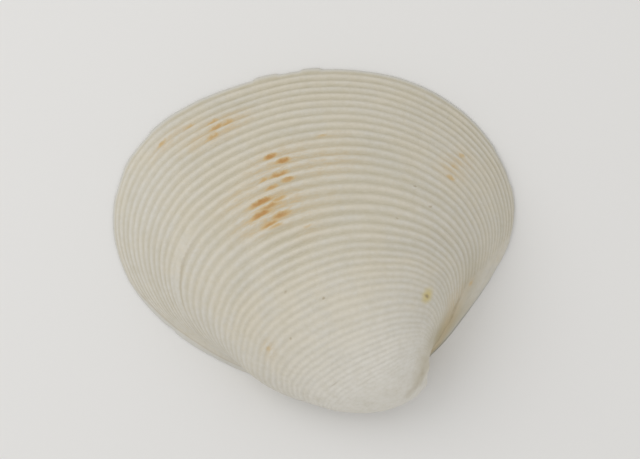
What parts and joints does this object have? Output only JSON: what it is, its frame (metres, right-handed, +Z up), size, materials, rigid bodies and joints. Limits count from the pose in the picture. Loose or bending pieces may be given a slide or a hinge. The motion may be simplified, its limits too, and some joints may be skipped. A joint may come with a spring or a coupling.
{
  "type": "venus clam shell",
  "caption": "Single left valve of a venus clam, ribbed outside up, hollow beneath, resting on its margin.",
  "frame": {"origin": "middle of the bounding box, at the level of the margin that the valve rests on", "axes": "+X towards the front end, which the beak leans to; +Y towards the free edge, away from the hinge; +Z up, out of the ribbed outside"},
  "size_m": [0.0442, 0.0376, 0.013],
  "materials": {
    "shell": "satin"
  },
  "bodies": {
    "root": {"valve": "shell"}
  },
  "joints": []
}
